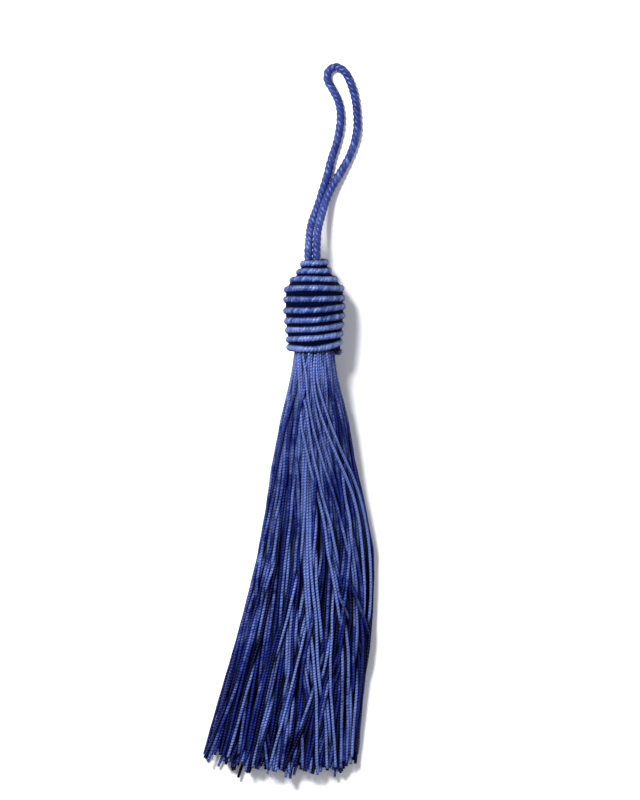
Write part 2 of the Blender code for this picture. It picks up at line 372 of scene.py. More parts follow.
class Graph:
    """A node tree while it is being wired."""

    def __init__(self, tree: bpy.types.NodeTree) -> None:
        """Keep the tree that nodes are added to."""
        self.tree = tree

    def add(self, kind: str, **settings: object) -> bpy.types.Node:
        """Add a node.

        Args:
            kind: The node's type.
            settings: Its properties by name.

        Returns:
            The node.
        """
        node = self.tree.nodes.new(kind)
        for name, value in settings.items():
            setattr(node, name, value)
        return node

    def feed(self, socket: Socket, value: object) -> None:
        """Link a socket to an output, or set its value.

        Args:
            socket: An input.
            value: The output to link it to, or the value to set.
        """
        if isinstance(value, Socket):
            self.tree.links.new(value, socket)
        else:
            socket.default_value = value

    def fed(
        self, kind: str, values: Sequence[object], output: int | str = 0, **settings: object
    ) -> Socket:
        """Add a node with its first inputs fed in order.

        Args:
            kind: The node's type.
            values: The outputs or values for its first inputs.
            output: The output that is wanted, by number or name.
            settings: The node's properties by name.

        Returns:
            That output.
        """
        node = self.add(kind, **settings)
        for socket, value in zip(node.inputs, values):
            self.feed(socket, value)
        return node.outputs[output]

    def math(self, operation: str, *values: object, clamp: bool = False) -> Socket:
        """Return the result of a Math node."""
        return self.fed("ShaderNodeMath", values, operation=operation, use_clamp=clamp)

    def vector(self, *values: object) -> Socket:
        """Return a vector made of three numbers."""
        return self.fed("ShaderNodeCombineXYZ", values)

    def ramp(
        self, value: object, low: float, high: float, to_low: float = 0.0, to_high: float = 1.0
    ) -> Socket:
        """Return a value eased from one range to another."""
        values = (value, low, high, to_low, to_high)
        return self.fed("ShaderNodeMapRange", values, "Result", interpolation_type="SMOOTHSTEP")

    def mix(self, factor: object, first: object, second: object, blend: str = "MIX") -> Socket:
        """Mix two colours.

        Args:
            factor: How much of the second colour there is.
            first: The first colour.
            second: The second colour.
            blend: How they are mixed.

        Returns:
            The mixed colour.
        """
        node = self.add("ShaderNodeMix", data_type="RGBA", blend_type=blend)
        for name, value in {"Factor": factor, "A": first, "B": second}.items():
            self.feed(node.inputs[name], value)
        return node.outputs["Result"]

    def noise(
        self, vector: object, scale: object, detail: float = 2.0, roughness: float = 0.5
    ) -> Socket:
        """Add a noise texture.

        Args:
            vector: Where it is read.
            scale: How fine it is.
            detail: How many finer layers it has.
            roughness: How strong those are.

        Returns:
            Its value.
        """
        node = self.add("ShaderNodeTexNoise")
        values = {"Vector": vector, "Scale": scale, "Detail": detail, "Roughness": roughness}
        for name, value in values.items():
            self.feed(node.inputs[name], value)
        return node.outputs["Fac"]


def new_group(
    name: str, inputs: dict[str, object], outputs: dict[str, SocketKind]
) -> tuple[Graph, dict[str, Socket], dict[str, Socket]]:
    """Start a shader node group with named sockets.

    Args:
        name: The group's name.
        inputs: The default value of each input: a number, a colour, or None for a vector.
        outputs: What each output carries.

    Returns:
        The graph, its inputs by name, and the sockets that its outputs are fed through.
    """
    tree = bpy.data.node_groups.new(name, "ShaderNodeTree")
    kinds = {float: SocketKind.FLOAT, tuple: SocketKind.COLOUR, type(None): SocketKind.VECTOR}
    for label, value in inputs.items():
        kind = kinds[type(value)]
        socket = tree.interface.new_socket(name=label, in_out="INPUT", socket_type=kind.value)
        if value is not None:
            socket.default_value = value
    for label, kind in outputs.items():
        tree.interface.new_socket(name=label, in_out="OUTPUT", socket_type=kind.value)
    graph = Graph(tree)
    entry = graph.add("NodeGroupInput")
    leave = graph.add("NodeGroupOutput")
    given, out = ({s.name: s for s in sockets if s.name} for sockets in (entry.outputs, leave.inputs))
    return graph, given, out


def twist_group() -> bpy.types.NodeTree:
    """Build the group that draws the plies of a twisted strand.

    Returns:
        The group, which puts out the height of the ridges and a mask of the creases between them.
    """
    graph, given, out = new_group(
        "ply_twist",
        {"Along": 0.0, "Around": 0.0, "Lay": 0.002, "Plies": 2.0, "Unevenness": 1.5, "Seed": 0.0},
        {"Ridge": SocketKind.FLOAT, "Crease": SocketKind.FLOAT},
    )
    turns = graph.math("DIVIDE", given["Along"], given["Lay"])
    row = graph.math("MULTIPLY", given["Seed"], 400.0)
    wander = graph.noise(graph.vector(turns, row, 0.0), 0.16, 2.0)
    wander = graph.math("MULTIPLY", graph.math("SUBTRACT", wander, 0.5), given["Unevenness"])
    turned = graph.math("ADD", turns, given["Around"])
    phase = graph.math("ADD", turned, graph.math("ADD", wander, given["Seed"]))
    share = graph.math("FRACT", graph.math("MULTIPLY", phase, given["Plies"]))
    off = graph.math("SUBTRACT", graph.math("MULTIPLY", share, 2.0), 1.0)
    rest = graph.math("SUBTRACT", 1.0, graph.math("MULTIPLY", off, off), clamp=True)
    ridge = graph.math("SQRT", rest)
    graph.feed(out["Ridge"], ridge)
    graph.feed(out["Crease"], graph.ramp(ridge, 0.97, 0.30))
    return graph.tree


def filament_group() -> bpy.types.NodeTree:
    """Build the group that draws the fine filaments running along each ply.

    Returns:
        The group, which puts out how light or dark each filament is.
    """
    graph, given, out = new_group(
        "filaments",
        {"Along": 0.0, "Around": 0.0, "Lay": 0.002, "Fineness": 6.0, "Stretch": 900.0},
        {"Fibre": SocketKind.FLOAT},
    )
    turn = graph.math("ADD", graph.math("DIVIDE", given["Along"], given["Lay"]), given["Around"])
    angle = graph.math("MULTIPLY", turn, math.tau)
    east = graph.math("MULTIPLY", graph.math("COSINE", angle), given["Fineness"])
    north = graph.math("MULTIPLY", graph.math("SINE", angle), given["Fineness"])
    length = graph.math("MULTIPLY", given["Along"], given["Stretch"])
    graph.feed(out["Fibre"], graph.noise(graph.vector(east, north, length), 1.0, 3.0, 0.6))
    return graph.tree


def dye_group() -> bpy.types.NodeTree:
    """Build the group that shifts a dyed colour from strand to strand and along each strand.

    Returns:
        The group, which puts out the colour and how bright it is.
    """
    black = (0.0, 0.0, 0.0, 1.0)
    graph, given, out = new_group(
        "dye_variation",
        {
            "Deep": black, "Plain": black, "Bright": black,
            "Tone": 0.5, "Along": 0.0, "Seed": 0.0, "Position": None,
        },
        {"Colour": SocketKind.COLOUR, "Shade": SocketKind.FLOAT},
    )
    drift = graph.noise(given["Position"], 90.0, 2.0)
    row = graph.math("MULTIPLY", given["Seed"], 370.0)
    length = graph.math("MULTIPLY", given["Along"], 180.0)
    streak = graph.noise(graph.vector(length, row, 0.0), 1.0, 4.0, 0.75)
    tone = graph.math("MULTIPLY", given["Tone"], 0.8)
    shade = graph.math("ADD", tone, graph.math("MULTIPLY", streak, 0.7))
    shade = graph.math("ADD", shade, graph.math("MULTIPLY", drift, 0.5))
    shade = graph.ramp(shade, 0.53, 1.38)
    low = graph.mix(graph.ramp(shade, 0.0, 0.5), given["Deep"], given["Plain"])
    graph.feed(out["Colour"], graph.mix(graph.ramp(shade, 0.5, 1.0), low, given["Bright"]))
    graph.feed(out["Shade"], shade)
    return graph.tree


def lint_group() -> bpy.types.NodeTree:
    """Build the group that scatters specks of dust and lint.

    Returns:
        The group, which puts out a mask of the specks.
    """
    graph, given, out = new_group(
        "lint", {"Position": None, "Scale": 2500.0, "Amount": 0.3}, {"Speck": SocketKind.FLOAT}
    )
    cells = graph.noise(given["Position"], given["Scale"], 2.0)
    patches = graph.noise(given["Position"], 160.0, 1.0)
    specks = graph.ramp(cells, 0.68, 0.74)
    specks = graph.math("MULTIPLY", specks, patches)
    graph.feed(out["Speck"], graph.math("MULTIPLY", specks, given["Amount"]))
    return graph.tree


@dataclass(frozen=True)
class StrandFinish:
    """The finish of a twisted rayon strand. Lays and reliefs are in metres."""

    FIBRE_STREAKS = (0.3, 0.7, 0.6, 1.4)  # the filaments' range, and how far it darkens and lightens
    FIBRE_ROUGHNESS = 0.25
    FIBRE_MEAN = 0.12  # what the filaments add to the roughness on the whole
    CREASE_ROUGHNESS = 0.2
    BURIED_ROUGHNESS = 0.5
    PAINTED_SHADE_COLOUR = 0.25  # the painted shade deep between the strands, as a share of the deep colour
    LINT_COLOUR = (0.30, 0.27, 0.24, 1.0)
    SPECULAR_TINT = (0.65, 0.76, 1.0, 1.0)

    name: str
    deep: tuple[float, float, float]
    plain: tuple[float, float, float]
    bright: tuple[float, float, float]
    lay: float
    plies: int
    ply_crease_shade: float
    relief: float
    fibre_relief: float
    roughness: float
    specular: float
    lint: float
    buried_shade: float = 0.9
    gloss: float = 0.15

    def material(self, groups: dict[str, bpy.types.NodeTree]) -> bpy.types.Material:
        """Build the material.

        Args:
            groups: The shared node groups by name.

        Returns:
            A material that reads the strand UV and the tone, depth and seed attributes.
        """
        made = bpy.data.materials.new(self.name)
        made.use_nodes = True
        graph = Graph(made.node_tree)
        shader = made.node_tree.nodes["Principled BSDF"]
        uv = graph.add("ShaderNodeUVMap", uv_map=STRAND_UV)
        split = graph.add("ShaderNodeSeparateXYZ")
        graph.feed(split.inputs[0], uv.outputs[0])
        along, around = split.outputs[0], split.outputs[1]
        place = graph.add("ShaderNodeTexCoord").outputs["Object"]
        tone, depth, seed = (
            graph.add("ShaderNodeAttribute", attribute_name=name).outputs["Fac"]
            for name in (TONE, PAINTED_SHADE_DEPTH, SEED)
        )
        dye = self.placed(graph, groups["dye"], Tone=tone, Along=along, Position=place, Seed=seed)
        for socket, colour in (("Deep", self.deep), ("Plain", self.plain), ("Bright", self.bright)):
            dye.inputs[socket].default_value = (*colour, 1.0)
        strand = {"Along": along, "Around": around}
        twist = self.placed(
            graph, groups["twist"], **strand, Lay=self.lay, Plies=float(self.plies), Seed=seed
        )
        fibre = self.placed(graph, groups["filaments"], **strand, Lay=-self.lay * 2)
        lint = self.placed(graph, groups["lint"], Position=place, Amount=self.lint)
        # painted shade: the creases between the plies are darkened towards the deep colour
        painted_crease_shade = graph.math("MULTIPLY", twist.outputs["Crease"], self.ply_crease_shade)
        streaks = graph.ramp(fibre.outputs["Fibre"], *self.FIBRE_STREAKS)
        colour = graph.mix(1.0, dye.outputs["Colour"], streaks, blend="MULTIPLY")
        colour = graph.mix(painted_crease_shade, colour, (*self.deep, 1.0))
        colour = graph.mix(lint.outputs["Speck"], colour, self.LINT_COLOUR)
        # painted shade: deep among the strands and on the sides of the winding's rows, the colour is
        # darkened towards a share of the deep colour
        painted_depth_shade = graph.math("MULTIPLY", depth, self.buried_shade, clamp=True)
        colour = graph.mix(painted_depth_shade, colour, (*(v * self.PAINTED_SHADE_COLOUR for v in self.deep), 1.0))
        graph.feed(shader.inputs["Base Color"], colour)
        rough = graph.math("MULTIPLY", fibre.outputs["Fibre"], self.FIBRE_ROUGHNESS)
        rough = graph.math("ADD", rough, self.roughness - self.FIBRE_MEAN)
        creased = graph.math("MULTIPLY", twist.outputs["Crease"], self.CREASE_ROUGHNESS)
        rough = graph.math("ADD", rough, creased)
        deeper = graph.math("MULTIPLY", painted_depth_shade, self.BURIED_ROUGHNESS)
        rough = graph.math("ADD", rough, deeper, clamp=True)
        graph.feed(shader.inputs["Roughness"], rough)
        relief = graph.math("MULTIPLY", twist.outputs["Ridge"], self.relief)
        finer = graph.math("MULTIPLY", fibre.outputs["Fibre"], self.fibre_relief)
        relief = graph.math("ADD", relief, finer)
        bump = graph.add("ShaderNodeBump")
        graph.feed(bump.inputs["Height"], relief)
        bump.inputs["Strength"].default_value = 1.0
        bump.inputs["Distance"].default_value = 1.0
        graph.feed(shader.inputs["Normal"], bump.outputs[0])
        shader.inputs["Metallic"].default_value = self.gloss
        shader.inputs["Specular IOR Level"].default_value = self.specular
        shader.inputs["Specular Tint"].default_value = self.SPECULAR_TINT
        return made

    @staticmethod
    def placed(graph: Graph, group: bpy.types.NodeTree, **values: object) -> bpy.types.Node:
        """Place a node group in a graph.

        Args:
            graph: The graph.
            group: The node group.
            values: A value or an output for each of its inputs by name.

        Returns:
            The group's node.
        """
        node = graph.add("ShaderNodeGroup", node_tree=group)
        for name, value in values.items():
            graph.feed(node.inputs[name], value)
        return node


class Finishes:
    """Every finish of the tassel, each made once into a material."""

    WINDING = StrandFinish(
        name="winding_cord",
        deep=(0.0006, 0.002, 0.030), plain=(0.012, 0.036, 0.200), bright=(0.165, 0.235, 0.53),
        lay=-0.0024, plies=4, ply_crease_shade=0.45, relief=0.00006, fibre_relief=0.00004,
        roughness=0.36, specular=0.40, lint=0.15, buried_shade=1.0,
    )
    LOOP = StrandFinish(
        name="loop_cord",
        deep=(0.001, 0.003, 0.035), plain=(0.016, 0.030, 0.165), bright=(0.10, 0.15, 0.40),
        lay=-0.0034, plies=3, ply_crease_shade=0.4, relief=0.00005, fibre_relief=0.00004,
        roughness=0.40, specular=0.5, lint=0.10,
    )
    YARN = StrandFinish(
        name="skirt_yarn",
        deep=(0.0003, 0.0010, 0.022), plain=(0.005, 0.013, 0.145), bright=(0.108, 0.158, 0.44),
        lay=0.0016, plies=2, ply_crease_shade=0.55, relief=0.00017, fibre_relief=0.00004,
        roughness=0.32, specular=0.18, lint=0.12, buried_shade=1.0, gloss=0.24,
    )
    THREAD = StrandFinish(
        name="mould_thread",
        deep=(0.0002, 0.0008, 0.012), plain=(0.0005, 0.002, 0.032), bright=(0.003, 0.004, 0.050),
        lay=0.0012, plies=2, ply_crease_shade=0.4, relief=0.00004, fibre_relief=0.00001,
        roughness=0.6, specular=0.03, lint=0.10,
    )

    def __init__(self) -> None:
        """Build the shared node groups and the materials."""
        groups = {
            "twist": twist_group(),
            "filaments": filament_group(),
            "dye": dye_group(),
            "lint": lint_group(),
        }
        finishes = (self.WINDING, self.LOOP, self.YARN, self.THREAD)
        self.materials = {finish: finish.material(groups) for finish in finishes}


class Assembly:
    """A sub-assembly of the tassel, which is built and then dressed in its finish."""

    FINISH: ClassVar[StrandFinish]

    def build(self) -> list[bpy.types.Object]:
        """Return the sub-assembly's pieces, newly built."""
        raise NotImplementedError

    def dress(self, pieces: list[bpy.types.Object], finishes: Finishes) -> None:
        """Give every piece the sub-assembly's finish."""
        for piece in pieces:
            piece.data.materials.append(finishes.materials[self.FINISH])


@dataclass
class HeadPlace:
    """Where the head is, read from its solid."""

    DOME = 0.05 * MM  # how far the mould's crown stands above the drop of 0

    x: float = 0.0
    top: float = 0.0
    z: float = 0.0

    @classmethod
    def of_frame(cls) -> "HeadPlace":
        """Read the head's axis and top from the box of its mould."""
        low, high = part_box("head_form")
        return cls(x=(low[0] + high[0]) / 2, top=high[1] - cls.DOME, z=(low[2] + high[2]) / 2)

    def points(self, beside: Array, drop: Array, height: Array) -> Array:
        """Return world points beside the axis, down from the top and above the surface."""
        return np.stack([self.x + beside, self.top - drop, height], axis=-1)


@dataclass
class PliedCord:
    """A cord of round plies twisted together along a route."""

    WOBBLE = (0.15, 1.7)  # how far the plies run ahead and behind, and how often for each lay
    SWELL = (0.05, 2.3)  # how much thicker and thinner they get, and how often
    END_TAPER = 0.7

    diameter: float
    lay: float
    plies: int = 3
    sense: TwistSense = TwistSense.Z_TWIST
    rings_per_lay: int = 14
    sides: int = 8
    ply_share: float = 0.50  # a ply's radius as a share of the cord's
    shades: tuple[float, float] = (0.25, 0.85)  # the range of the plies' tones

    def bundle(self, route: Array, seed: int, floor: float) -> StrandBundle:
        """Lay the plies along a route.

        Args:
            route: Points of the cord's centreline.
            seed: Sets the plies' tones and slight unevenness.
            floor: No point of the cord goes below this height.

        Returns:
            The plies as one bundle.
        """
        rng = np.random.default_rng(seed)
        centre = evenly_spaced(route, self.lay / self.rings_per_lay)
        along = lengths_along(centre)
        side, up = (v[0] for v in turning_frames(centre[None]))
        radius = self.diameter / 2
        ply_radius = radius * self.ply_share
        start = rng.uniform(0, math.tau)
        wobble = self.WOBBLE[0] * np.sin(along / self.lay * self.WOBBLE[1] + start)
        paths = []
        for ply in range(self.plies):
            turn = self.sense.value * math.tau * along / self.lay + math.tau * ply / self.plies
            turn = turn + wobble
            spoke = side * np.cos(turn)[:, None] + up * np.sin(turn)[:, None]
            paths.append(centre + spoke * (radius - ply_radius))
        tones = rng.uniform(*self.shades, self.plies)
        radii = np.full((self.plies, len(centre)), ply_radius)
        radii *= 1 + self.SWELL[0] * np.sin(along / self.lay * self.SWELL[1])[None]
        radii[:, [0, -1]] *= self.END_TAPER
        shades = np.repeat(tones[:, None], len(centre), axis=1)
        return StrandBundle(np.stack(paths), radii, shades, np.zeros_like(radii), self.sides, floor)


@dataclass
class HangingLoop(Assembly):
    """The hanging loop: one twisted cord out of the head's top and back into it."""

    FINISH = Finishes.LOOP

    place: HeadPlace
    cord: PliedCord = field(default_factory=lambda: PliedCord(
        diameter=2.35 * MM, lay=4.6 * MM, ply_share=0.58, shades=(0.38, 0.6)
    ))
    tucked: float = 1.5 * MM  # how far each end goes on into the head

    def route(self) -> Array:
        """Read the cord's way from the table.

        Returns:
            The cord's centreline, with both ends tucked into the head.
        """
        table = np.array(LOOP_ROUTE) * MM
        points = self.place.points(table[:, 0], -table[:, 1], table[:, 2])
        first, last = points[0].copy(), points[-1].copy()
        first[1] -= self.tucked
        last[1] -= self.tucked
        return np.concatenate([[first], points, [last]])

    def build(self) -> list[bpy.types.Object]:
        """Returns:
            The loop, as the only piece.
        """
        path = evenly_spaced(self.route(), self.cord.diameter / 2)
        piece = self.cord.bundle(self.route(), seed=11, floor=CLEARANCE).to_object("hanging_loop")
        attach(piece, BODY)
        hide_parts("loop_cord")
        return [piece]


@dataclass
class HeadWinding(Assembly):
    """The cord wound round the mould in a rising spiral.

    The levelling, given at a few rows, is how far the front of a row is laid level, with the step
    to the next row taken behind: 0 for an even spiral, 1 for level, and below 0 for steeper.
    """

    FINISH = Finishes.WINDING
    LEVELLING = (
        (0.0, 0.9), (5.0, 0.9), (6.5, 0.0), (7.5, -0.5), (9.1, -0.75), (9.9, 0.2), (11.0, 0.5),
    )
    SAGS = (
        (9.3, 0.0), (9.55, -0.4), (9.75, -0.8), (9.9, -0.2),
        (10.0, 0.1), (10.12, 0.0), (10.25, -0.3), (10.8, -0.3),
    )  # how far the last row hangs below the spiral, in millimetres, so that it lies in a bow
    INSIDE = 0.84 * MM  # from a row's outer edge in to the cord's centreline
    WAVERS = ((0.08 * MM, 5.1, 1.0), (0.05 * MM, 13.7, 0.0))  # how far, how often, and from where
    UNEVENNESS = 0.01 * MM
    BOW_ROWS = (4.0, 6.0)  # the rows between which the bow sets in
    CROWN = 0.90  # how near its crown the cord is still free of painted shade, as a share of its radius
    CROWN_TO_SIDE = 0.62
    END_TURN = 0.2  # the part of a turn at the end that lies in the open, with less painted shade
    END_SHADE = 0.35

    place: HeadPlace
    cord: PliedCord = field(
        default_factory=lambda: PliedCord(
            diameter=1.85 * MM, lay=2.8 * MM, rings_per_lay=11, ply_share=0.66, shades=(0.58, 0.74)
        )
    )
    start: float = 0.6
    end: float = 10.78
    bow: float = 0.65 * MM  # how much higher the lower rows run at both sides than in front
    points_per_row: int = 40

    def route(self) -> Array:
        """Wind the cord through the rows.

        Returns:
            The cord's centreline.
        """
        table = np.array(HEAD_ROWS) * MM
        numbers = np.arange(len(table))
        count = round((self.end - self.start) * self.points_per_row)
        rows = np.linspace(self.start, self.end, count + 1)
        levelling = np.array(self.LEVELLING)
        levelled = curve_through(levelling[:, 1], levelling[:, 0], rows)[:, 0]
        read = curve_through(table, numbers, rows - levelled * np.sin(math.tau * rows) / math.tau)
        rng = np.random.default_rng(5)
        waver = sum(far * np.sin(rows * often + start) for far, often, start in self.WAVERS)
        sags = np.array(self.SAGS)
        kept = np.clip(rows, sags[0, 0], sags[-1, 0])
        waver = waver + curve_through(sags[:, 1], sags[:, 0], kept)[:, 0] * MM
        radius = read[:, 1] - self.INSIDE + rng.normal(0, self.UNEVENNESS, len(rows))
        angle = math.tau * (rows - 1) + math.pi / 2
        waver = waver - self.bow * np.cos(angle) ** 2 * eased(rows, *self.BOW_ROWS)
        return self.place.points(
            radius * np.cos(angle), read[:, 0] + waver, self.place.z + radius * np.sin(angle)
        )

    def build(self) -> list[bpy.types.Object]:
        """Build the winding.

        Returns:
            The winding, as the only piece.
        """
        piece = self.cord.bundle(self.route(), seed=23, floor=0.0).to_object("wound_cord")
        self.shade_sides(piece)
        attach(piece, BODY)
        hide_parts("head_winding")
        return [piece]

    def shade_sides(self, piece: bpy.types.Object) -> None:
        """Paint shade on each point of the cord by how deeply it lies between the rows.

        Args:
            piece: The winding, whose depths, its painted shade, are set from 0 at the crown of a row
                to 1 at its sides.
        """
        route = self.route()
        tree = KDTree(len(route))
        for number, point in enumerate(route):
            tree.insert(point, number)
        tree.balance()
        deep = []
        last_turn = len(route) - round(self.END_TURN * self.points_per_row)
        for vert in piece.data.vertices:
            number = tree.find(vert.co)[1]
            centre = route[number]
            outward = Vector((centre[0] - self.place.x, 0.0, centre[2] - self.place.z)).normalized()
            crown = (vert.co - Vector(centre)).dot(outward) / (self.cord.diameter / 2)
            shown = self.END_SHADE if number > last_turn else 1.0
            deep.append(shown * min(max((self.CROWN - crown) / self.CROWN_TO_SIDE, 0.0), 1.0))
        piece.data.attributes[PAINTED_SHADE_DEPTH].data.foreach_set("value", deep)


@dataclass
class Mould(Assembly):
    """The mould inside the winding, covered with threads laid lengthwise."""

    FINISH = Finishes.THREAD
    WELD = 0.002 * MM
    AXIS_REACH = 0.5 * MM  # no thread is raised closer to the axis than this
    CROWN_SHARE = 0.75  # the uppermost band is drawn in by this

    place: HeadPlace
    threads: int = 72
    points_per_thread: int = 4
    bands: int = 60
    inside: float = 0.85 * MM  # from the winding's outer edge in to the threads
    thread_rise: float = 0.16 * MM
    bottom: float = 24.6 * MM

    def build(self) -> list[bpy.types.Object]:
        """Turn the mould's profile round its axis and raise the threads on it.

        Returns:
            The mould's cover, as the only piece.
        """
        table = np.array(HEAD_ROWS) * MM
        drops = np.linspace(-HeadPlace.DOME, self.bottom, self.bands)
        radii = curve_through(table[:, 1], table[:, 0], drops)[:, 0] - self.inside
        radii[0] *= self.CROWN_SHARE
        shape = bmesh.new()
        line = [shape.verts.new((0.0, self.place.top - drops[0], self.place.z))]
        for radius, drop in zip(radii, drops):
            line.append(shape.verts.new((0.0, self.place.top - drop, self.place.z + radius)))
        line.append(shape.verts.new((0.0, self.place.top - drops[-1], self.place.z)))
        edges = [shape.edges.new(pair) for pair in zip(line, line[1:])]
        bmesh.ops.spin(
            shape,
            geom=[*line, *edges],
            cent=(0.0, 0.0, self.place.z),
            axis=(0.0, 1.0, 0.0),
            angle=math.tau,
            steps=self.threads * self.points_per_thread,
            use_merge=True,
            use_duplicate=False,
        )
        bmesh.ops.remove_doubles(shape, verts=shape.verts, dist=self.WELD)
        for vert in shape.verts:
            x, z = vert.co.x, vert.co.z - self.place.z
            reach = math.hypot(x, z)
            if reach > self.AXIS_REACH:
                rise = self.thread_rise * abs(math.cos(self.threads * math.atan2(x, z) / 2))
                vert.co.x = x * (reach + rise) / reach
                vert.co.z = self.place.z + z * (reach + rise) / reach
            vert.co.x += self.place.x
        bmesh.ops.recalc_face_normals(shape, faces=shape.faces)
        layer = shape.loops.layers.uv.new(STRAND_UV)
        for face in shape.faces:
            for loop in face.loops:
                x, z = loop.vert.co.x - self.place.x, loop.vert.co.z - self.place.z
                turn = math.atan2(x, z) / math.tau
                loop[layer].uv = (self.place.top - loop.vert.co.y, turn * self.threads)
        mesh = bpy.data.meshes.new("mould_cover")
        shape.to_mesh(mesh)
        shape.free()
        mesh.shade_smooth()
        piece = bpy.data.objects.new("mould_cover", mesh)
        bpy.context.scene.collection.objects.link(piece)
        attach(piece, BODY)
        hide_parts("head_form")
        return [piece]


class SkirtOutline:
    """The outline of the skirt's solid, read ring by ring from its mesh."""

    LAST_WHOLE_RING = 127.2 * MM
    RING_GRID = 0.2 * MM  # points this close in height belong to one ring
    LEAST_WIDTH = 8 * MM
    LEAST_POINTS = 30
    SHOULDER = 0.8 * MM  # how far the yarns stand out at the right, below the neck
    SHOULDER_DROP = 34.5 * MM
    SHOULDER_REACH = 5.5 * MM

    def __init__(self, place: HeadPlace) -> None:
        """Read the sides, underside and crown of every ring of the solid.

        Args:
            place: Where the head is.
        """
        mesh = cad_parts["skirt"].data
        points = np.empty(len(mesh.vertices) * 3)
        mesh.vertices.foreach_get("co", points)
        points = points.reshape(-1, 3)
        levels = np.round(points[:, 1] / self.RING_GRID).astype(int)
        rows = []
        for level in np.unique(levels):
            ring = points[levels == level]
            drop = place.top - ring[:, 1].mean()
            whole = np.ptp(ring[:, 0]) > self.LEAST_WIDTH and len(ring) > self.LEAST_POINTS
            if whole and drop < self.LAST_WHOLE_RING:
                x, z = ring[:, 0], ring[:, 2]
                rows.append((drop, x.min(), x.max(), z.min(), z.max()))
        self.table = np.array(sorted(rows))

    def at(self, drops: Array) -> tuple[Array, ...]:
        """Read the outline, carried on straight past its last whole ring.

        Args:
            drops: Where to read it.

        Returns:
            The left side, right side, underside and crown at each drop.
        """
        table = self.table
        sides = [np.interp(drops, table[:, 0], table[:, i]) for i in range(1, 5)]
        beyond = np.maximum(drops - table[-1, 0], 0.0)
        for i, side in enumerate(sides):
            trend = (table[-1, i + 1] - table[-2, i + 1]) / (table[-1, 0] - table[-2, 0])
            sides[i] = side + beyond * trend
        from_shoulder = (drops - self.SHOULDER_DROP) / self.SHOULDER_REACH
        sides[1] += self.SHOULDER * np.exp(-(from_shoulder**2))
        return tuple(sides)


